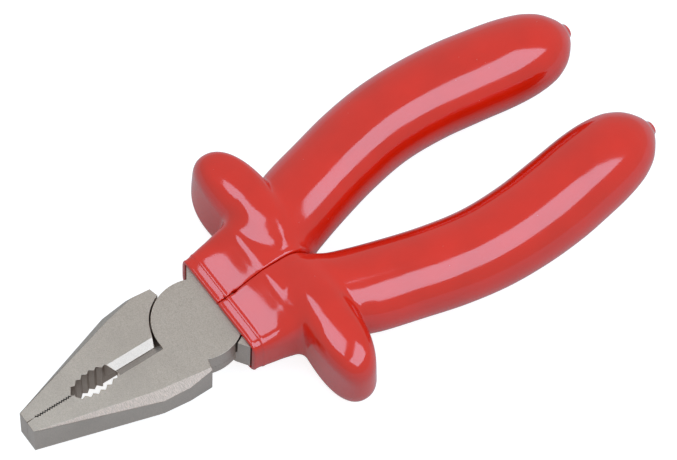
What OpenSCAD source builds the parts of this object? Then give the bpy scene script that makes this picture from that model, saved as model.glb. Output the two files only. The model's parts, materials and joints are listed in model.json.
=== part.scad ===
// Lineman pliers with dipped insulating grips, lying flat with the jaws closed.
// The design frame has the pivot at x = y = 0 and the middle of the thickness at z = 0,
// with the nose towards -X and the handles towards +X. The last step moves it so that the
// origin is the bottom centre of the whole tool.

/* [Head] */
// Distance from the pivot to the end of the jaws
jaw_reach = 51.3; // [50.5:0.1:56]
// Thickness of the head across both joint discs
head_thick = 10.2; // [9.4:0.1:11]
// Radius of the two joint discs
disc_r = 11.8; // [11.7:0.1:12]
// Running gap around the edge of each disc
arc_gap = 0.4; // [0.3:0.05:0.5]
// Gap between the two sliding disc faces
face_gap = 0.06; // [0.04:0.01:0.1]
// Half width of the two jaws together at the nose
nose_half = 3.2; // [2.8:0.1:3.6]

/* [Gripping and cutting edges] */
// Gap between the closed jaws
bite_gap = 0.2; // [0.14:0.02:0.3]
// Pitch of the fine nose serrations
serration_pitch = 0.7; // [0.6:0.05:0.9]
// Height of the fine nose serrations
serration_height = 0.5; // [0.2:0.05:0.5]
// Depth that the serrations lie below the jaw's face
serration_room = 0.13; // [0.08:0.01:0.2]
// Length of the oval pipe grip
pipe_length = 12.5; // [12:0.1:13]
// Half width of the oval pipe grip to the roots of its teeth
pipe_half = 3.5; // [3.2:0.1:3.7]
// Height of the pipe grip teeth
pipe_tooth = 0.8; // [0.5:0.1:1]
// Width of the cutter bevel on the front face of each jaw
bevel_front = 2.15; // [1.8:0.05:2.4]
// Width of the cutter bevel on the back face of each jaw
bevel_back = 2.8; // [2.2:0.1:3]
// Depth of the cutting edge below the front face
bevel_depth = 1.4; // [1.2:0.1:1.6]

/* [Pivot] */
// Radius of the rivet shank
rivet_r = 4.5; // [4:0.1:5]
// Radius of the countersunk rivet heads
rivet_head_r = 5.6; // [5.2:0.1:6]
// Depth of the countersunk rivet heads
rivet_head_depth = 1.2; // [1:0.1:1.5]
// Radial running clearance of the rivet in the back half
rivet_clearance = 0.04; // [0.02:0.01:0.08]

/* [Handles] */
// Thickness of the steel inside the grips
tang_thick = 8; // [7:0.1:9]
// Distance from the pivot to the end of the steel
tang_reach = 118; // [112:1:119]
// Distance from the pivot to the front edge of the grips
collar_x = 6.4; // [6.2:0.1:7]
// Width of the inner layer that shows in front of the outer layer
lip_width = 2.4; // [2:0.1:3]
// Thickness of the outer dipped layer
skin_t = 1.2; // [1:0.1:1.4]
// Gap between a grip and the disc face it slides over
slide_gap = 0.15; // [0.1:0.01:0.2]
// Gap between the two grips along the seam
seam_gap = 0.3; // [0.25:0.05:0.4]
// Distance of the seam from the middle line
seam_y = 0.4; // [0:0.1:0.5]

/* [Hidden] */

half_t = head_thick / 2;
far = 200;
sides = 20;
steel = "#b5b0a8";
red = "#cd3c32";
dark_red = "#b4372f";
cream = "#d8c7a0";

// Outer edge of a jaw from the nose to the shoulder, as [x, distance from the middle line]
JAW_EDGE = [
    [-jaw_reach, nose_half], [-19.5, 14], [-12, 14.7], [-5, 14], [-4.6, 12.2], [-4, 10.5]
];
// Inner edge of the ground facets along the outside of the lower jaw and of the upper jaw
LOWER_FACET = [[-jaw_reach, 3.1], [-20, 11], [-4.6, 13.4]];
UPPER_FACET = [[-jaw_reach, 3.1], [-19.3, 12.4], [-10, 14.5]];
facet_front = 24;
facet_back = 40;
pipe_x = -31.05;
pipe_arc = 9;
tooth_shift = 0.6;
pipe_lead = 0.9;
cutter_lead = 2.4;
bevel_turn = [2.4, -1];
relief_y = 3.4;
relief_x = 1.3;
pipe_teeth = 6;
land_x = -49;
cutter_x = pipe_x + pipe_length / 2;
edge_gap = 0.06;
edge_land = 0.35;
root_angle = 69;
guard_lean = 0.06;
edge_skin = 0.2;
disc_draft = 1.1;

// Stations along a grip: [x, middle y, half width, half height, squareness]
GRIP = [
    [6.4, 7.3, 8.9, 6.5, 5], [9, 7.5, 9.1, 6.85, 4.6], [12, 7.8, 9.4, 7.35, 4.2],
    [15, 8, 9.7, 8.1, 3.9], [18, 8.3, 10, 9.3, 3.6], [20, 8.5, 10.2, 10.1, 3.4],
    [22, 8.8, 10.5, 10.3, 3.3],
    [26, 9.5, 11, 10.3, 3], [34, 12, 12.1, 10.4, 2.2], [40, 14.4, 12.3, 10.4, 2],
    [50, 17.4, 12, 10.4, 2], [62, 20.6, 11.9, 10.4, 2], [74, 22.6, 11.8, 10.5, 2],
    [86, 22.8, 12, 10.7, 2], [98, 21.7, 12.3, 10.9, 2], [108, 20.2, 12.2, 10.8, 2],
    [115, 19.3, 11.7, 10.4, 2], [121, 18.7, 10.5, 9.5, 2], [124.5, 18.5, 9, 8.3, 2],
    [127, 18.4, 7.3, 6.8, 2], [129.5, 18.3, 4.6, 4.4, 2], [131, 18.3, 2.4, 2.3, 2],
    [132, 18.3, 1.6, 1.5, 2], [132.4, 18.3, 0.7, 0.7, 2]
];
// Stations across a guard: [y, middle x of the upper one, middle x of the lower one,
// half length, half height]. Past the last row it closes as a blunt tip.
GUARD = [
    [2, 28.5, 28.5, 4.5, 8.8], [5, 28.6, 28.4, 5.6, 9.8], [8, 28.7, 28.3, 6.5, 11],
    [11, 28.8, 28, 7.1, 11.9], [14, 28.9, 27.8, 7.5, 12.3], [20, 29, 27.2, 7.6, 12.4]
];
GUARD_TIP = [38.8, 27.2, 25.4];
guard_power = 3.4;
tip_drop = 2.6;
tip_power = 2.2;
UPPER = 1;
LOWER = 2;
tip_x = GRIP[len(GRIP) - 1][0];
lift = max([for (row = GUARD) row[4]]);

// Smooth curve through column c of a table whose column 0 rises
function slope(t, i, c) =
    let (a = max(i - 1, 0), b = min(i + 1, len(t) - 1))
    (t[b][c] - t[a][c]) / (t[b][0] - t[a][0]);
function span(t, x, i = 0) = i >= len(t) - 2 || x < t[i + 1][0] ? i : span(t, x, i + 1);
function curve(t, x, c) =
    let (i = span(t, x), w = t[i + 1][0] - t[i][0], u = (x - t[i][0]) / w)
    t[i][c] * (1 + 2 * u) * pow(1 - u, 2) + t[i + 1][c] * (3 - 2 * u) * u * u
    + slope(t, i, c) * w * u * pow(1 - u, 2) - slope(t, i + 1, c) * w * (1 - u) * u * u;

// A ring of points on a squared ellipse, 1 unit in half width and half height
function power(v, p) = sign(v) * pow(abs(v), 2 / p);
function ring(p) = [for (k = [0:sides - 1])
    [power(cos(k * 360 / sides), p), power(sin(k * 360 / sides), p)]];

// Skin over a list of rings, closed by flat ends
module loft(rings) {
    n = len(rings);
    quads = [for (i = [0:n - 2], k = [0:sides - 1])
        [i * sides + k, (i + 1) * sides + k,
         (i + 1) * sides + (k + 1) % sides, i * sides + (k + 1) % sides]];
    ends = [[for (k = [0:sides - 1]) k], [for (k = [sides - 1:-1:0]) (n - 1) * sides + k]];
    polyhedron([for (r = rings) each r], concat(quads, ends), convexity = 6);
}

// How much thinner the inner layer is than the outer surface at x
function skin_at(x) = min(skin_t, edge_skin + (skin_t - edge_skin) * (x - collar_x) / 14);

// How much further a grip's inner side reaches than its outer side, so that the two collars
// meet flush along the seam
function fullness(x) = 1 + 1.3 * pow(min(max((38 - x) / 30, 0), 1), 1.5);

// Body of a grip, less an inset, from x0 to x1
module grip_body(x0, x1, inset = 0) {
    between = concat([for (x = [12:3.5:33]) x], [for (x = [38:6:110]) x],
                     [for (row = GRIP) if (row[0] > 112) row[0]]);
    loft([for (x = concat([x0], [for (x = between) if (x > x0 + 1 && x < x1 - 0.5) x], [x1]))
        let (t = inset * skin_at(x), shape = ring(curve(GRIP, x, 4)))
        [for (q = shape) [
            x,
            curve(GRIP, x, 1) + q[0] * (curve(GRIP, x, 2) - t) * (q[0] < 0 ? fullness(x) : 1),
            q[1] * (curve(GRIP, x, 3) - t)
        ]]]);
}

// Station of a guard at an angle round its end, 0 at the last row and 90 at the tip
function guard_end(angle) =
    let (last = GUARD[len(GUARD) - 1], out = pow(sin(angle), 2 / tip_power),
         length = max(pow(cos(angle), 2 / tip_power), 0.04),
         height = max(pow(max(1 - pow(out, tip_drop), 0), 1 / tip_drop), 0.04))
    [last[0] + (GUARD_TIP[0] - last[0]) * out, last[1] + (GUARD_TIP[1] - last[1]) * out,
     last[2] + (GUARD_TIP[2] - last[2]) * out, last[3] * length, last[4] * height];

// Guard lobe of the upper or the lower grip, less an inset
module guard_body(grip, inset = 0) {
    rows = concat(GUARD, [for (angle = [15:12.5:90]) guard_end(angle)]);
    loft([for (row = rows)
        [for (q = ring(guard_power)) [
            row[grip] + guard_lean * q[0] * row[4] + q[1] * max(row[3] - inset, 0.3),
            row[0] - inset * row[0] / GUARD_TIP[0],
            q[0] * max(row[4] - inset, 0.3)
        ]]]);
}

// Everything on the grip's own side of the seam, kept back by a margin
module own_side(seam, margin = 0) {
    translate([-far / 2, seam + seam_gap / 2 + margin, -far / 2]) cube([far * 2, far, far]);
}

// Steel inside one handle, seen flat
module tang_outline() {
    root = [disc_r * cos(root_angle), disc_r * sin(root_angle)];
    xs = [for (x = [12:4:tang_reach - 6]) x];
    outer = [for (x = xs) [x, curve(GRIP, x, 1) + tang_half(x)]];
    inner = [for (i = [len(xs) - 1:-1:0]) [xs[i], curve(GRIP, xs[i], 1) - tang_half(xs[i])]];
    end_y = curve(GRIP, tang_reach, 1);
    end = [[tang_reach - 1.5, end_y + 3], [tang_reach, end_y + 1.5],
           [tang_reach, end_y - 1.5], [tang_reach - 1.5, end_y - 3]];
    polygon(concat([[0, 0], root, [6.4, 14.2]], outer, end, inner, [[9, 0.9]]));
}
function tang_half(x) = x < 46 ? 7 - 2 * (x - 6.4) / (46 - 6.4) : 5 - 1.3 * (x - 46) / (tang_reach - 46);

module tang() {
    step_x = 24;
    linear_extrude(head_thick, center = true)
        intersection() {
            tang_outline();
            square([step_x * 2, far], center = true);
        }
    linear_extrude(tang_thick, center = true) tang_outline();
}

// Points along the inside of the lower jaw from the pivot to the nose. Side is 1 for the half
// whose disc is in front and -1 for the other, whose teeth fall between the first ones.
function bite(side) = concat(
    [[0, -edge_gap / 2], [cutter_x, -edge_gap / 2]],
    [for (i = [side > 0 ? 0 : 1:pipe_teeth * 2 - (side > 0 ? 0 : 1)])
        let (x = cutter_x - pipe_length * i / (pipe_teeth * 2) - (side > 0 ? 0 : tooth_shift),
             root = pipe_half * (1 - pow((x - pipe_x) / pipe_arc, 2)))
        [x, -root + (i % 2 == 0 ? pipe_tooth : 0)]],
    [[cutter_x - pipe_length - (side > 0 ? 0 : pipe_lead), -bite_gap / 2]],
    [for (i = [side > 0 ? 1 : 3:floor((cutter_x - pipe_length - land_x) / serration_pitch * 2) - 1])
        [cutter_x - pipe_length - i * serration_pitch / 2,
         -bite_gap / 2 - serration_room + serration_height / 2 * (i % 2 == 0 ? side : -side)]],
    [[land_x, -edge_gap / 2], [-jaw_reach, -edge_gap / 2]]
);

// Removes a shallow ground facet along the outside of the lower jaw, on its +Z face
module facet_cut(edge, facet_slope) {
    for (i = [0:len(edge) - 2]) {
        a = edge[i];
        b = edge[i + 1];
        turn = atan2(-(b[1] - a[1]), b[0] - a[0]);
        translate([a[0], -a[1], half_t])
            rotate([0, 0, turn])
                rotate([facet_slope, 0, 0])
                    translate([-10, -20, 0]) cube([70, 20, 10]);
    }
}

// Space for the other half's disc, with a relief where the jaw's edge meets it
module disc_space() {
    cut_r = disc_r + arc_gap;
    translate([0, 0, -far + face_gap / 2]) {
        cylinder(h = far, r = cut_r, $fn = 96);
        linear_extrude(far)
            polygon([[-sqrt(cut_r * cut_r - relief_y * relief_y), -relief_y], [-disc_r - relief_x, 0],
                     [-disc_r - relief_x, 1], [0, 1], [0, -relief_y]]);
    }
}

// Jaw, disc and steel handle in one forging, with the jaw below and the handle above
module forging(side) {
    edge = side > 0 ? LOWER_FACET : UPPER_FACET;
    difference() {
        union() {
            linear_extrude(head_thick, center = true)
                polygon(concat(bite(side), [for (p = JAW_EDGE) [p[0], -p[1]]]));
            tang();
        }
        disc_space();
        facet_cut(edge, side > 0 ? facet_front : facet_back);
        mirror([0, 0, 1]) facet_cut(edge, side > 0 ? facet_back : facet_front);
    }
    translate([0, 0, face_gap / 2])
        disc(side > 0 ? 0 : disc_draft);
}

// Joint disc above z = 0, narrowing by a draft towards its outer face
module disc(draft) {
    straight = half_t - face_gap / 2 - draft * 2;
    cylinder(h = straight, r = disc_r, $fn = 96);
    if (draft > 0)
        translate([0, 0, straight]) cylinder(h = draft * 2, r1 = disc_r, r2 = disc_r - draft, $fn = 96);
}

// The bevelled channel on both faces that leaves the two cutting edges. On one jaw it runs
// out through the last flank of the pipe grip, by the lead.
module cutter_channel(lead = 0) {
    edge_z = half_t - bevel_depth;
    translate([cutter_x - lead, 0, 0])
        rotate([90, 0, 90])
            linear_extrude(lead - cutter_x - disc_r) {
                polygon([[0, edge_z], [bevel_front, half_t], [bevel_front, half_t + 1],
                         [-bevel_front, half_t + 1], [-bevel_front, half_t]]);
                polygon([[0, edge_z - edge_land], [-bevel_turn[0], bevel_turn[1]],
                         [-bevel_back, -half_t], [-bevel_back, -half_t - 1],
                         [bevel_back, -half_t - 1], [bevel_back, -half_t],
                         [bevel_turn[0], bevel_turn[1]]]);
            }
}

// Rivet form, grown by a clearance
module rivet_form(grow = 0) {
    rotate_extrude($fn = 96)
        polygon([[0, -half_t], [rivet_head_r + grow, -half_t],
                 [rivet_r + grow, -half_t + rivet_head_depth],
                 [rivet_r + grow, half_t - rivet_head_depth],
                 [rivet_head_r + grow, half_t], [0, half_t]]);
}

// Space that the steel needs inside a grip: its own tang, and both discs with room to slide
module grip_hollow() {
    tang();
    translate([0, 0, -half_t - slide_gap])
        cylinder(h = head_thick + slide_gap, r = disc_r + arc_gap, $fn = 48);
}

module sleeve_solid(seam, reach = tang_reach + 3) {
    intersection() {
        grip_body(collar_x, reach, 1);
        union() {
            intersection() {
                own_side(seam);
                translate([-far + collar_x + lip_width, -far, -far]) cube([far, far * 2, far * 2]);
            }
            own_side(seam, 0.6);
        }
    }
}

module inner_sleeve(seam) {
    difference() {
        sleeve_solid(seam);
        grip_hollow();
    }
}

module guard_space(seam, grip) {
    intersection() {
        guard_body(grip, skin_t);
        own_side(seam, 5);
    }
}

module guard_core(seam, grip) {
    difference() {
        guard_space(seam, grip);
        sleeve_solid(seam);
    }
}

module outer_skin(seam, grip) {
    difference() {
        intersection() {
            union() {
                grip_body(collar_x + lip_width, tip_x);
                guard_body(grip);
            }
            own_side(seam);
        }
        sleeve_solid(seam);
        guard_space(seam, grip);
        grip_hollow();
    }
}

// From the pivot to the bottom centre of the tool
module placed() {
    translate([(jaw_reach - tip_x) / 2, 0, lift]) children();
}
// A moulded part is one closed skin, so its pieces are joined before it is placed
module moulded() {
    placed() resize([0, 0, 0]) union() children();
}
// The lower handle's parts are the upper ones turned over
module turned() {
    rotate([180, 0, 0]) children();
}

module front_half() {
    color(steel) placed() difference() {
        forging(1);
        cutter_channel();
        rivet_form();
    }
}
module back_half() {
    color(steel) placed() difference() {
        turned() forging(-1);
        cutter_channel(cutter_lead);
        rivet_form(rivet_clearance);
    }
}
module pivot_rivet() {
    color("#8f8b84") placed() rivet_form();
}
module upper_inner_sleeve() {
    color(dark_red) moulded() inner_sleeve(seam_y);
}
module lower_inner_sleeve() {
    color(dark_red) moulded() turned() inner_sleeve(-seam_y);
}
module upper_guard_core() {
    color(cream) moulded() guard_core(seam_y, UPPER);
}
module lower_guard_core() {
    color(cream) moulded() turned() guard_core(-seam_y, LOWER);
}
module upper_outer_skin() {
    color(red) moulded() outer_skin(seam_y, UPPER);
}
module lower_outer_skin() {
    color(red) moulded() turned() outer_skin(-seam_y, LOWER);
}

front_half();
back_half();
pivot_rivet();
upper_inner_sleeve();
lower_inner_sleeve();
upper_guard_core();
lower_guard_core();
upper_outer_skin();
lower_outer_skin();
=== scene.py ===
"""Lineman pliers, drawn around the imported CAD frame.

The two forgings are copies of the CAD nodes with softened edges, and the rivet and the guard
cores are the CAD nodes themselves. The grips are closed surfaces of a distance field: a handle
body and a finger guard, melted together the way a dipped skin flows, then cut along the seam.
The fields are in millimetres from the pivot, with the upper handle at +Y. The lower grip is
the upper one turned over, with a guard of its own.
"""
import json
import math

import bmesh
import bpy
import numpy as np
import openvdb
from mathutils import Matrix, Vector

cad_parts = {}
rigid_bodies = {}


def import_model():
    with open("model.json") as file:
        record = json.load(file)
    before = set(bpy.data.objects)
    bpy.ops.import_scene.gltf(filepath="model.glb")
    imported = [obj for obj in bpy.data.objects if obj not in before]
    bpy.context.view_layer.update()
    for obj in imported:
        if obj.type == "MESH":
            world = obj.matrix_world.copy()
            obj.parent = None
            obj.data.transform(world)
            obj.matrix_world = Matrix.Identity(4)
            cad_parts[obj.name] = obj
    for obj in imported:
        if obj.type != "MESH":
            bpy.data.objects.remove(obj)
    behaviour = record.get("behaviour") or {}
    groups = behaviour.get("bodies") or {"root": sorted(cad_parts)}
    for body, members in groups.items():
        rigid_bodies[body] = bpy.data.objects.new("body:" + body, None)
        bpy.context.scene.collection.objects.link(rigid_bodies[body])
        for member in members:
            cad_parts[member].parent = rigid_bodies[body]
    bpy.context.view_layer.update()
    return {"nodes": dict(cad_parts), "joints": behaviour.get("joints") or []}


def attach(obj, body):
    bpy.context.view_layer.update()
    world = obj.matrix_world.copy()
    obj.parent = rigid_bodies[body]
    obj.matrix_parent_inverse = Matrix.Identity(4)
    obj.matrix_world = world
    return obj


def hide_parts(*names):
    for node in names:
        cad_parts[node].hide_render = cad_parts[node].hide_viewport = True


# The start-up cube, lamp and camera
for leftover in list(bpy.data.objects):
    bpy.data.objects.remove(leftover)

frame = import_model()

MM = 0.001
PIVOT = Vector(frame["joints"][0]["pos_m"])

# ---------------------------------------------------------------- sizes, in millimetres
HALF_THICK = 5.1  # of the head
DISC_R = 11.8  # of the two joint discs
RIVET_EDGE_R = 6.2  # just outside the rivet's heads
COLLAR_X = 6.4  # front of the inner layer
SKIN_X = 8.8  # front of the outer skin
SLEEVE_END = 121.0
TANG_END = 118.0  # of the steel inside a handle
TIP_X = 132.4
SKIN_T = 1.2
LEAST_HALF = 0.3  # so that an inset layer still closes at the tip

# The seam between the two grips
SEAM = 0.4  # distance from the middle line
SEAM_GAP = 0.2
SEAM_WAVER = 0.1
SEAM_WAVE = 1.9  # one radian of the waver
NOTCH_FADE = 4.0  # height over which the notch reaches its full width

# Room inside a grip for the steel
DISC_ROOM = 0.4
FIT_ROOM = 0.04  # to the handle's own disc
SLIDE_ROOM = 0.15  # to the disc that slides past
LAYER_GAP = 0.02  # between the inner layer and the skin
SLEEVE_TUCK = 0.3  # how far the inner layer stays proud under the skin's front edge

# How softly the parts of a field meet
GUARD_ROUND = 5.0
SLEEVE_ROUND = 0.5
LIP_ROUND = 0.35
SEAM_ROUND = 0.4
SKIN_FRONT_ROUND = 0.05
SLOT_ROUND = 0.12

# Near the joint a grip reaches further towards the seam, by up to this share more
SEAM_FULLNESS = 1.3
FULLNESS_END = 38.0
FULLNESS_LENGTH = 30.0
FULLNESS_POWER = 1.5

# Bumps along x: middle, width, height
SEAM_BEND = (11.6, 1.1, 0.25)
SEAM_NOTCH = (11.4, 0.9, 0.5)
LIP_BEAD = (COLLAR_X + 0.45, 0.35, 0.12)
SKIN_RIDGE = (SKIN_X + 0.5, 0.35, 0.09)

# Values that run straight between places along x: the places, then the values
SKIN_THICKNESS = ((SKIN_X - 0.03, SKIN_X + 0.03, 22.0), (0.06, 0.4, SKIN_T))
SLEEVE_SET_BACK = ((SKIN_X - 0.3, SKIN_X + 0.3), (0.0, 0.6))
TANG_HALF = ((6.4, 46.0, 118.0), (7.0, 5.0, 3.7))
MOUTH_ROOM = ((6.4, 12.0), (0.5, 0.0))
GUARD_MELT = ((20.0, 30.0, 35.0), (2.2, 2.0, 1.3))

# Along a grip: x, middle y, half width, half height, squareness
GRIP = np.array([
    (6.4, 7.3, 8.9, 6.5, 5.0), (9, 7.5, 9.1, 6.85, 4.6), (12, 7.8, 9.4, 7.35, 4.2),
    (15, 8.0, 9.7, 8.1, 3.9), (18, 8.3, 10.0, 9.3, 3.6), (20, 8.5, 10.2, 10.1, 3.4),
    (22, 8.8, 10.5, 10.3, 3.3), (26, 9.5, 11.0, 10.3, 3.0), (34, 12.0, 12.1, 10.4, 2.2),
    (40, 14.4, 12.3, 10.4, 2.0), (50, 17.4, 12.0, 10.4, 2.0), (62, 20.6, 11.9, 10.4, 2.0),
    (74, 22.6, 11.8, 10.5, 2.0), (86, 22.8, 12.0, 10.7, 2.0), (98, 21.7, 12.3, 10.9, 2.0),
    (108, 20.2, 12.2, 10.8, 2.0), (115, 19.3, 11.7, 10.4, 2.0), (121, 18.7, 10.5, 9.5, 2.0),
    (124.5, 18.5, 9.0, 8.3, 2.0), (127, 18.4, 7.3, 6.8, 2.0), (129.5, 18.3, 4.6, 4.4, 2.0),
    (131, 18.3, 2.4, 2.3, 2.0), (132, 18.3, 1.6, 1.5, 2.0), (TIP_X, 18.3, 0.7, 0.7, 2.0),
])
# Across a guard: y, middle x of the upper one, middle x of the lower one, half length,
# half height. Past the last row it closes as a blunt tip. UPPER and LOWER say which middle.
UPPER, LOWER = 1, 2
GUARD = np.array([
    (2, 28.5, 28.5, 4.5, 8.8), (5, 28.6, 28.4, 5.6, 9.8), (8, 28.7, 28.3, 6.5, 11.0),
    (11, 28.8, 28.0, 7.1, 11.9), (14, 28.9, 27.8, 7.5, 12.3), (20, 29.0, 27.2, 7.6, 12.4),
])
GUARD_TIP = (38.8, 27.2, 25.4)  # y, then both middles
GUARD_CROWN = 14.0  # radius across the rim
GUARD_LEAN = 0.06  # along x for each millimetre of height
TIP_PLAN = 2.2  # squareness of the tip from above
TIP_DROP = 2.6  # squareness of the rim as it comes down at the tip
RIM_REACH = 2.8  # how far past the tip the rim would come down by itself


# ---------------------------------------------------------------- distance fields
def curve(table, column, at):
    """Smooth value of a table's column where its first column rises through at."""
    knots, values = table[:, 0], table[:, column]
    last = len(knots) - 1
    before = np.maximum(np.arange(last + 1) - 1, 0)
    after = np.minimum(np.arange(last + 1) + 1, last)
    slope = (values[after] - values[before]) / (knots[after] - knots[before])
    at = np.clip(at, knots[0], knots[last])
    i = np.clip(np.searchsorted(knots, at, side="right") - 1, 0, last - 1)
    width = knots[i + 1] - knots[i]
    u = (at - knots[i]) / width
    return (
        values[i] * (1 + 2 * u) * (1 - u) ** 2 + values[i + 1] * (3 - 2 * u) * u ** 2
        + slope[i] * width * u * (1 - u) ** 2 - slope[i + 1] * width * (1 - u) * u ** 2
    )


def smooth_min(a, b, k):
    """Both shapes as one, with a fillet where their distances differ by less than k."""
    h = np.clip(0.5 + 0.5 * (b - a) / k, 0, 1)
    return b * (1 - h) + a * h - k * h * (1 - h)


def smooth_max(a, b, k):
    """Only what the shapes share, with its edges rounded by k."""
    return -smooth_min(-a, -b, k)


def oval(u, v, half_u, half_v, power=2.0):
    """Distance from a squared ellipse, measured along the ray from its middle."""
    length = np.sqrt(u * u + v * v) + 1e-9
    reach = (np.abs(u / half_u) ** power + np.abs(v / half_v) ** power) ** (1 / power) + 1e-9
    return length - length / reach


def bump(x, middle, width, height):
    """A smooth hump along x."""
    return height * np.exp(-((x - middle) / width) ** 2)


def seam_wall(side, x, z):
    """Where a grip half stops beside the seam: a wavering line with one torn notch on top."""
    line = side * (SEAM + SEAM_WAVER * np.sin(x / SEAM_WAVE) - bump(x, *SEAM_BEND))
    notch = bump(x, *SEAM_NOTCH) * np.clip(z / NOTCH_FADE, 0, 1)
    return line + SEAM_GAP / 2 + notch


def body_field(x, y, z, inset):
    """The handle without its guard, drawn in by the inset."""
    edge = np.maximum(x - TIP_X + GRIP[-1][2], 0)
    across = y - curve(GRIP, 1, x)
    near = np.clip((FULLNESS_END - x) / FULLNESS_LENGTH, 0, 1)
    fullness = 1 + SEAM_FULLNESS * near ** FULLNESS_POWER
    across = np.where(across < 0, across / fullness, across)
    half_width = np.maximum(curve(GRIP, 2, x) - inset, LEAST_HALF)
    half_height = np.maximum(curve(GRIP, 3, x) - inset, LEAST_HALF)
    return edge + oval(across, z, half_width, half_height, curve(GRIP, 4, x))


def guard_field(x, y, z, grip):
    """A fin with a gently crowned rim: its outline from above, cut by its rim."""
    last = GUARD[-1]
    out = np.maximum(y - last[0], 0)
    share = out / (GUARD_TIP[0] - last[0])
    middle = curve(GUARD, grip, y) + share * (GUARD_TIP[grip] - last[grip])
    along = x - middle - GUARD_LEAN * z
    outline = oval(along, out, curve(GUARD, 3, y), GUARD_TIP[0] - last[0], TIP_PLAN)
    rise = np.abs(z) + along ** 2 / (2 * GUARD_CROWN)
    rim = oval(rise, out, curve(GUARD, 4, y), GUARD_TIP[0] + RIM_REACH - last[0], TIP_DROP)
    return smooth_max(outline, rim, GUARD_ROUND)


def slot_field(x, y, z):
    """Room for the steel: the discs, which slide, and the handle's own tang."""
    tang = np.abs(y - curve(GRIP, 1, x)) - np.interp(x, *TANG_HALF) - np.interp(x, *MOUTH_ROOM)
    tang = np.maximum(tang, x - TANG_END)
    plan = np.minimum(np.hypot(x, y) - DISC_R - DISC_ROOM, tang)
    return np.maximum(np.maximum(plan, z - HALF_THICK - FIT_ROOM), -z - HALF_THICK - SLIDE_ROOM)


def sleeve_field(x, y, z, side, tuck=0.0):
    """The inner layer, before the steel's slot is cut out of it."""
    inset = np.interp(x - tuck, *SKIN_THICKNESS) - bump(x, *LIP_BEAD)
    f = body_field(x, y, z, inset)
    wall = seam_wall(side, x, z) + np.interp(x, *SLEEVE_SET_BACK)
    f = smooth_max(f, wall - y, SLEEVE_ROUND)
    f = smooth_max(f, COLLAR_X - x, LIP_ROUND)
    return smooth_max(f, x - SLEEVE_END, SLEEVE_ROUND)


def inner_sleeve(side):
    """Field of one grip's inner layer."""
    def field(x, y, z):
        f = sleeve_field(x, y, z, side, SLEEVE_TUCK)
        return smooth_max(f, -slot_field(x, y, z), SLOT_ROUND)
    return field


def outer_skin(side, grip):
    """Field of one grip's outer skin: handle and guard melted into one, hollow inside."""
    def field(x, y, z):
        body = body_field(x, y, z, -bump(x, *SKIN_RIDGE))
        f = smooth_min(body, guard_field(x, y, z, grip), np.interp(x, *GUARD_MELT))
        f = smooth_max(f, seam_wall(side, x, z) - y, SEAM_ROUND)
        f = smooth_max(f, SKIN_X - x, SKIN_FRONT_ROUND)
        f = np.maximum(f, -(sleeve_field(x, y, z, side) - LAYER_GAP))
        return smooth_max(f, -slot_field(x, y, z), SLOT_ROUND)
    return field


# ---------------------------------------------------------------- meshes
FIELD_BAND = 3.0  # distances beyond this are cut off
GRADIENT_STEP = 0.01
LONGEST_MOVE = 0.15
FLATTEST = 1e-3  # smallest squared gradient to divide by


def steps(*stretches):
    """Places along an axis: (start, end, spacing) stretches, joined."""
    places = [np.arange(a, b - 1e-9, s) for a, b, s in stretches]
    return np.concatenate(places + [[stretches[-1][1]]])


def surface(name, field, xs, ys, zs, turn, material):
    """Closed quad mesh of the field's zero surface, with every point drawn onto it."""
    values = field(xs[:, None, None], ys[None, :, None], zs[None, None, :])
    grid = openvdb.FloatGrid(background=FIELD_BAND)
    grid.copyFromArray(np.clip(values, -FIELD_BAND, FIELD_BAND).astype(np.float32))
    points, quads = grid.convertToQuads(0.0)
    p = np.stack([
        np.interp(points[:, i], np.arange(len(axis)), axis)
        for i, axis in enumerate((xs, ys, zs))
    ], axis=1)
    h = GRADIENT_STEP
    for _ in range(3):
        distance = field(*p.T)
        slope = np.stack([
            (field(*(p + h * unit).T) - field(*(p - h * unit).T)) / (2 * h)
            for unit in np.eye(3)
        ], axis=1)
        steep = np.maximum((slope * slope).sum(1), FLATTEST)
        move = -distance[:, None] * slope / steep[:, None]
        far = np.maximum(np.linalg.norm(move, axis=1) / LONGEST_MOVE, 1)
        p = p + move / far[:, None]
    p[:, 1:] *= turn
    mesh = bpy.data.meshes.new(name)
    mesh.from_pydata((p * MM + np.array(PIVOT)).tolist(), [], quads.tolist())
    mesh.polygons.foreach_set("use_smooth", [True] * len(mesh.polygons))
    mesh.materials.append(material)
    mesh.update()
    piece = bpy.data.objects.new(name, mesh)
    bpy.context.scene.collection.objects.link(piece)
    return piece


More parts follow.
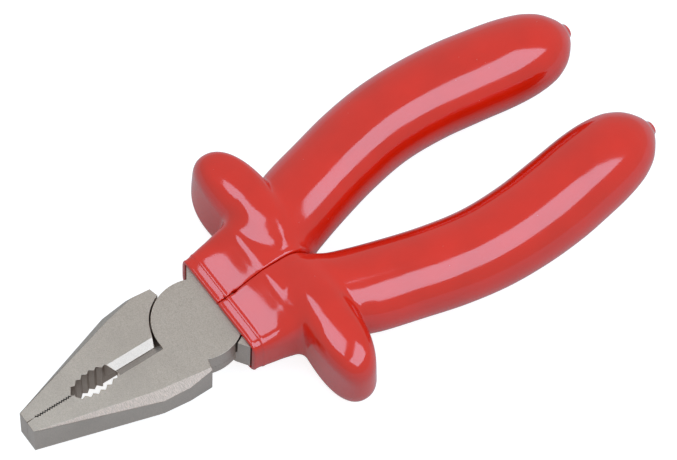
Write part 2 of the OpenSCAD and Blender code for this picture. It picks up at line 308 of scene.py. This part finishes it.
# ---------------------------------------------------------------- materials
class Shading:
    """A Principled material whose details are fed by textures in object space."""

    def __init__(self, name):
        self.material = bpy.data.materials.new(name)
        self.material.use_nodes = True
        self.nodes = self.material.node_tree.nodes
        self.links = self.material.node_tree.links
        self.bsdf = self.nodes["Principled BSDF"]
        self.place = self.nodes.new("ShaderNodeTexCoord").outputs["Object"]

    def set(self, **values):
        """Give shader inputs their values; an underscore stands for a space."""
        for name, value in values.items():
            self.bsdf.inputs[name.replace("_", " ")].default_value = value

    def join(self, source, target):
        self.links.new(source, target)

    def noise(self, size, detail=2.0, stretch=(1, 1, 1), turn=0.0):
        """Noise whose blobs are about size metres across, before it is stretched."""
        mapping = self.nodes.new("ShaderNodeMapping")
        mapping.inputs["Scale"].default_value = [1 / s for s in stretch]
        mapping.inputs["Rotation"].default_value = (0, 0, turn)
        self.join(self.place, mapping.inputs["Vector"])
        texture = self.nodes.new("ShaderNodeTexNoise")
        texture.inputs["Scale"].default_value = 1 / size
        texture.inputs["Detail"].default_value = detail
        self.join(mapping.outputs["Vector"], texture.inputs["Vector"])
        return texture.outputs["Fac"]

    def specks(self, spacing, radius, share):
        """1 inside sparse round specks, 0 elsewhere."""
        cells = self.nodes.new("ShaderNodeTexVoronoi")
        cells.inputs["Scale"].default_value = 1 / spacing
        self.join(self.place, cells.inputs["Vector"])
        near = self.math("LESS_THAN", cells.outputs["Distance"], radius / spacing)
        chosen = self.math("LESS_THAN", cells.outputs["Color"], share)
        return self.math("MULTIPLY", near, chosen)

    def openness(self, reach):
        """1 in the open, 0 deep in a gap whose other side is within reach metres."""
        node = self.nodes.new("ShaderNodeAmbientOcclusion")
        node.samples = 8
        node.inputs["Distance"].default_value = reach
        return node.outputs["AO"]

    def math(self, operation, a, b):
        """A Math node on two sockets or numbers."""
        node = self.nodes.new("ShaderNodeMath")
        node.operation = operation
        for socket, value in zip(node.inputs, (a, b)):
            if isinstance(value, (int, float)):
                socket.default_value = value
            else:
                self.join(value, socket)
        return node.outputs[0]

    def spread(self, source, low, high, start=0.3, end=0.7):
        """Source between start and end, stretched to run from low to high."""
        node = self.nodes.new("ShaderNodeMapRange")
        node.inputs["From Min"].default_value = start
        node.inputs["From Max"].default_value = end
        node.inputs["To Min"].default_value = low
        node.inputs["To Max"].default_value = high
        self.join(source, node.inputs["Value"])
        return node.outputs["Result"]

    def tint(self, source, dark, light, start=0.3, end=0.7):
        """Colour that runs from dark to light as the source runs from start to end."""
        node = self.nodes.new("ShaderNodeValToRGB")
        low, high = node.color_ramp.elements
        low.position = start
        low.color = (*dark, 1)
        high.position = end
        high.color = (*light, 1)
        self.join(source, node.inputs["Fac"])
        return node.outputs["Color"]

    def blend(self, share, below, above):
        """Two colours mixed: all below where the share is 0, all above where it is 1."""
        node = self.nodes.new("ShaderNodeMix")
        node.data_type = "RGBA"
        self.join(share, node.inputs["Factor"])
        for socket, colour in ((node.inputs["A"], below), (node.inputs["B"], above)):
            if isinstance(colour, tuple):
                socket.default_value = (*colour, 1)
            else:
                self.join(colour, socket)
        return node.outputs["Result"]

    def relief(self, *layers):
        """Bump layers, each a (height, depth in metres) pair."""
        normal = None
        for height, depth in layers:
            node = self.nodes.new("ShaderNodeBump")
            node.inputs["Distance"].default_value = depth
            self.join(height, node.inputs["Height"])
            if normal is not None:
                self.join(normal, node.inputs["Normal"])
            normal = node.outputs["Normal"]
        self.join(normal, self.bsdf.inputs["Normal"])


def times(colour, factor):
    """A colour made darker or lighter, to no more than white."""
    return tuple(min(c * factor, 1) for c in colour)


def red_plastic(name, colour):
    """Dipped soft PVC: glossy, slightly uneven in colour, with specks of dust."""
    look = Shading(name)
    look.set(Specular_IOR_Level=1.0)
    dark = times(colour, 0.93)
    light = times(colour, 1.05)
    pigment = look.tint(look.noise(0.012, 3), dark, light)
    dust = look.specks(0.0016, 0.00007, 0.22)
    look.join(look.blend(dust, pigment, (0.62, 0.22, 0.19)), look.bsdf.inputs["Base Color"])
    gloss = look.spread(look.noise(0.006, 4), 0.07, 0.13)
    look.join(look.math("ADD", gloss, look.math("MULTIPLY", dust, 0.3)), look.bsdf.inputs["Roughness"])
    look.relief((look.noise(0.009, 1), 0.00008), (dust, 0.00004))
    return look.material


def satin_steel(name, colour, rough):
    """Bead-blasted and plated steel: a fine even grain with faint smudges."""
    look = Shading(name)
    look.set(Metallic=1.0)
    grain = look.noise(0.00022, 2)
    smudge = look.noise(0.011, 4)
    pits = look.specks(0.0011, 0.00006, 0.18)
    grainy = look.tint(grain, times(colour, 0.84), times(colour, 1.12), 0.32, 0.68)
    smudges = look.spread(smudge, 0.0, 0.3, 0.42, 0.72)
    smudged = look.blend(smudges, grainy, times(colour, 0.7))
    look.join(look.blend(pits, smudged, times(colour, 0.45)), look.bsdf.inputs["Base Color"])
    look.join(look.spread(grain, rough - 0.07, rough + 0.07), look.bsdf.inputs["Roughness"])
    look.relief((grain, 0.000035), (pits, 0.00003))
    return look.material


def ground_steel(name, colour, rough, turn, depth):
    """Coarsely ground steel: fine parallel lines, as deep as depth in metres, and sparkle."""
    look = Shading(name)
    look.set(Metallic=1.0)
    lines = look.noise(0.00016, 3, stretch=(1, 6, 6), turn=turn)
    grit = look.noise(0.0002, 2)
    both = look.math("ADD", look.math("MULTIPLY", lines, 0.65), look.math("MULTIPLY", grit, 0.35))
    lined = look.tint(both, times(colour, 0.72), times(colour, 1.35), 0.36, 0.64)
    look.join(lined, look.bsdf.inputs["Base Color"])
    look.join(look.spread(both, rough - 0.08, rough + 0.1), look.bsdf.inputs["Roughness"])
    look.relief((both, depth))
    return look.material


def milled_steel_gap_shaded(name, colour, rough):
    """Milled steel whose colour carries painted shade: it goes dark where the other jaw closes over
    it, standing in for the shade in that gap.
    """
    look = Shading(name)
    look.set(Metallic=1.0)
    grain = look.noise(0.0003, 3)
    grainy = look.tint(grain, times(colour, 0.75), times(colour, 1.15))
    unshaded_share = look.spread(look.openness(0.0012), 0.0, 1.0, 0.15, 0.45)
    # painted shade: the colour drops to a tenth of itself deep in a narrow gap
    look.join(look.blend(unshaded_share, times(colour, 0.1), grainy), look.bsdf.inputs["Base Color"])
    look.join(look.spread(grain, rough - 0.06, rough + 0.08), look.bsdf.inputs["Roughness"])
    look.relief((grain, 0.00004))
    return look.material


SKIN_RED = red_plastic("dipped_red", (0.77, 0.013, 0.001))
INNER_RED = red_plastic("inner_red", (0.74, 0.013, 0.001))
STEEL_COLOUR = (0.52, 0.41, 0.33)
SATIN = satin_steel("satin_steel", STEEL_COLOUR, 0.42)
SIDE = satin_steel("side_steel", (0.53, 0.445, 0.385), 0.36)
FACET = ground_steel("ground_facet", (0.51, 0.38, 0.31), 0.5, math.radians(20), 0.00007)
CUTTER = satin_steel("ground_cutter", (0.58, 0.44, 0.36), 0.36)
# For the bevels that lean towards +Y, away from the brighter softbox: a greyer copy of the ground
# steel whose colour is painted shade
SHADED = satin_steel("shaded_ground", (0.55, 0.52, 0.49), 0.38)
# The serrations' colour goes dark between the closed jaws: painted shade
MILLED = milled_steel_gap_shaded("milling_painted_gap_shade", (0.5, 0.42, 0.37), 0.45)
RIVET = satin_steel("rivet_steel", STEEL_COLOUR, 0.42)

# ---------------------------------------------------------------- steel
SERRATED_X = (-48.9, -37.4)
SERRATED_Y = 0.8
CUTTER_Y = 2.9  # bevels nearer the middle line than this belong to the cutter
DISC_MEETING = 0.2  # edges this near the middle of the thickness lie between the discs
SHARP = math.radians(14)
FLAT = math.radians(0.4)
LEVEL = 0.98  # how far a level face's normal stands up, at least
UPRIGHT = 0.3  # how far an upright face's normal stands up, at most
BEVEL = 0.11
FINISHES = (SATIN, SIDE, FACET, CUTTER, SHADED, MILLED)


def serrated(place):
    """Whether a place, in millimetres from the pivot, is among the fine nose serrations."""
    return abs(place.y) < SERRATED_Y and SERRATED_X[0] < place.x < SERRATED_X[1]


def finish_of(normal, place):
    """The finish of a steel face whose middle is at a place, in millimetres from the pivot."""
    if abs(normal.z) > LEVEL:
        return SATIN
    if abs(normal.z) < UPRIGHT:
        return MILLED if serrated(place) else SIDE
    # bevels that face away from the light get the copy with painted shade
    if normal.y > 0:
        return SHADED
    return CUTTER if abs(place.y) < CUTTER_Y else FACET


def softened(node):
    """A copy of a CAD forging with its outside edges rounded and its faces finished."""
    source = frame["nodes"][node]
    mesh = source.data.copy()
    mesh.name = node + "_finished"
    mesh.materials.clear()
    for material in FINISHES:
        mesh.materials.append(material)
    work = bmesh.new()
    work.from_mesh(mesh)
    bmesh.ops.remove_doubles(work, verts=work.verts, dist=1e-6)
    bmesh.ops.dissolve_limit(work, angle_limit=FLAT, verts=work.verts, edges=work.edges)
    weight = work.edges.layers.float.new("bevel_weight_edge")
    for edge in work.edges:
        middle = ((edge.verts[0].co + edge.verts[1].co) / 2 - PIVOT) / MM
        sharp = len(edge.link_faces) == 2 and edge.calc_face_angle(0) > SHARP
        at_rivet = math.hypot(middle.x, middle.y) < RIVET_EDGE_R
        between_discs = abs(middle.z) < DISC_MEETING
        kept = at_rivet or between_discs or serrated(middle)
        edge[weight] = 1.0 if sharp and not kept else 0.0
    for face in work.faces:
        place = (face.calc_center_median() - PIVOT) / MM
        face.material_index = FINISHES.index(finish_of(face.normal, place))
        face.smooth = True
    for edge in work.edges:
        edge.smooth = edge.calc_face_angle(0) < SHARP
    work.to_mesh(mesh)
    work.free()
    piece = bpy.data.objects.new(node + "_steel", mesh)
    bpy.context.scene.collection.objects.link(piece)
    bevel = piece.modifiers.new("bevel", "BEVEL")
    bevel.width = BEVEL * MM
    bevel.segments = 2
    bevel.limit_method = "WEIGHT"
    bevel.harden_normals = True
    bevel.use_clamp_overlap = False
    return piece


for node, body in (("front_half", "front"), ("back_half", "back")):
    steel = softened(node)
    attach(steel, body)
    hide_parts(node)

frame["nodes"]["pivot_rivet"].data.materials[0] = RIVET
for node in ("upper_guard_core", "lower_guard_core"):
    frame["nodes"][node].data.materials[0] = INNER_RED

# ---------------------------------------------------------------- grips
# The skin is sampled closely at its front edge, its guard and its tip, and the sleeve at its lip
skin_x = steps((8.4, 9.3, 0.1), (9.3, 15, 0.22), (15, 42, 0.36), (42, 118, 0.8), (118, 133.2, 0.36))
skin_y = steps((-0.6, 3.0, 0.25), (3.0, 40, 0.36))
sleeve_x = steps((5.8, 8.5, 0.18), (8.5, 9.2, 0.1), (9.2, 40, 0.6), (40, 114, 2.0), (114, 122.4, 0.5))
sleeve_y = steps((-0.6, 3.0, 0.25), (3.0, 36, 0.4))
grip_z = steps((-13.2, 13.2, 0.33))
for side, body, turn, grip in (("upper", "front", 1, UPPER), ("lower", "back", -1, LOWER)):
    field = outer_skin(turn, grip)
    skin = surface(f"{side}_skin", field, skin_x, skin_y, grip_z, turn, SKIN_RED)
    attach(skin, body)
    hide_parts(f"{side}_outer_skin")
    field = inner_sleeve(turn)
    sleeve = surface(f"{side}_sleeve", field, sleeve_x, sleeve_y, grip_z, turn, INNER_RED)
    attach(sleeve, body)
    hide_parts(f"{side}_inner_sleeve")

# ---------------------------------------------------------------- stage
LIGHT_DISTANCE = 0.8
COOL = (0.66, 0.97, 1.25)  # slightly blue light
PAPER_GLOW = 0.85  # of the floor, for what the camera sees
MIRRORED_GLOW = 0.18  # of the floor, for what glossy surfaces mirror
FLOOR_HALF = 6


def softbox(name, direction, size, radiance, tint):
    """A rectangular light that looks radiance bright, as wide and as high as size in metres."""
    light = bpy.data.lights.new(name, "AREA")
    light.color = tint
    light.shape = "RECTANGLE"
    light.size, light.size_y = size
    light.energy = radiance * math.pi * size[0] * size[1]
    lamp = bpy.data.objects.new(name, light)
    bpy.context.scene.collection.objects.link(lamp)
    away = Vector(direction).normalized()
    lamp.location = PIVOT + away * LIGHT_DISTANCE
    lamp.rotation_euler = away.to_track_quat("Z", "Y").to_euler()


# One box makes the stripes on the handles, the other the patches on the guards and collars
softbox("right_box", (0.29, -0.5, 0.81), (0.76, 0.5), 2.4, COOL)
softbox("top_box", (-0.1, 0.2, 0.97), (0.42, 0.5), 2.3, COOL)

world = bpy.data.worlds.new("studio")
bpy.context.scene.world = world
world.use_nodes = True
sky = world.node_tree.nodes["Background"].inputs
sky["Color"].default_value = (1, 1, 1, 1)
sky["Strength"].default_value = 0.5

floor_mesh = bpy.data.meshes.new("floor")
corners = [(x * FLOOR_HALF, y * FLOOR_HALF, 0) for x, y in ((-1, -1), (1, -1), (1, 1), (-1, 1))]
floor_mesh.from_pydata(corners, [], [(0, 1, 2, 3)])
floor = bpy.data.objects.new("floor", floor_mesh)
bpy.context.scene.collection.objects.link(floor)
paper = Shading("paper")
paper.set(Roughness=0.9, Specular_IOR_Level=0.1, Emission_Color=(1, 1, 1, 1))
path = paper.nodes.new("ShaderNodeLightPath").outputs
mirrored = paper.math("MULTIPLY", path["Is Glossy Ray"], MIRRORED_GLOW)
seen = paper.math("MULTIPLY", path["Is Camera Ray"], PAPER_GLOW)
paper.join(paper.math("ADD", seen, mirrored), paper.bsdf.inputs["Emission Strength"])
fibre = paper.tint(paper.noise(0.02, 3), (0.42, 0.42, 0.42), (0.46, 0.46, 0.46))
paper.join(fibre, paper.bsdf.inputs["Base Color"])
floor_mesh.materials.append(paper.material)

# ---------------------------------------------------------------- camera
AZIMUTH, ELEVATION, ROLL = (math.radians(a) for a in (-38.69, 60.20, 3.56))
CAMERA_DISTANCE = 1.0
AIM = Vector((46.2, 3.09, 0))  # in millimetres from the pivot

back = Vector((
    math.sin(AZIMUTH) * math.cos(ELEVATION),
    -math.cos(AZIMUTH) * math.cos(ELEVATION),
    math.sin(ELEVATION),
))
right = Vector((math.cos(AZIMUTH), math.sin(AZIMUTH), 0))
upward = back.cross(right)
tilted_right = math.cos(ROLL) * right + math.sin(ROLL) * upward
tilted_up = -math.sin(ROLL) * right + math.cos(ROLL) * upward
camera_data = bpy.data.cameras.new("camera")
camera_data.sensor_width = 36
camera_data.lens = 206.8
camera_data.clip_start = 0.05
camera = bpy.data.objects.new("camera", camera_data)
bpy.context.scene.collection.objects.link(camera)
pose = Matrix((tilted_right, tilted_up, back)).transposed().to_4x4()
pose.translation = PIVOT + AIM * MM + back * CAMERA_DISTANCE
camera.matrix_world = pose
bpy.context.scene.camera = camera
bpy.context.scene.view_settings.view_transform = "Standard"
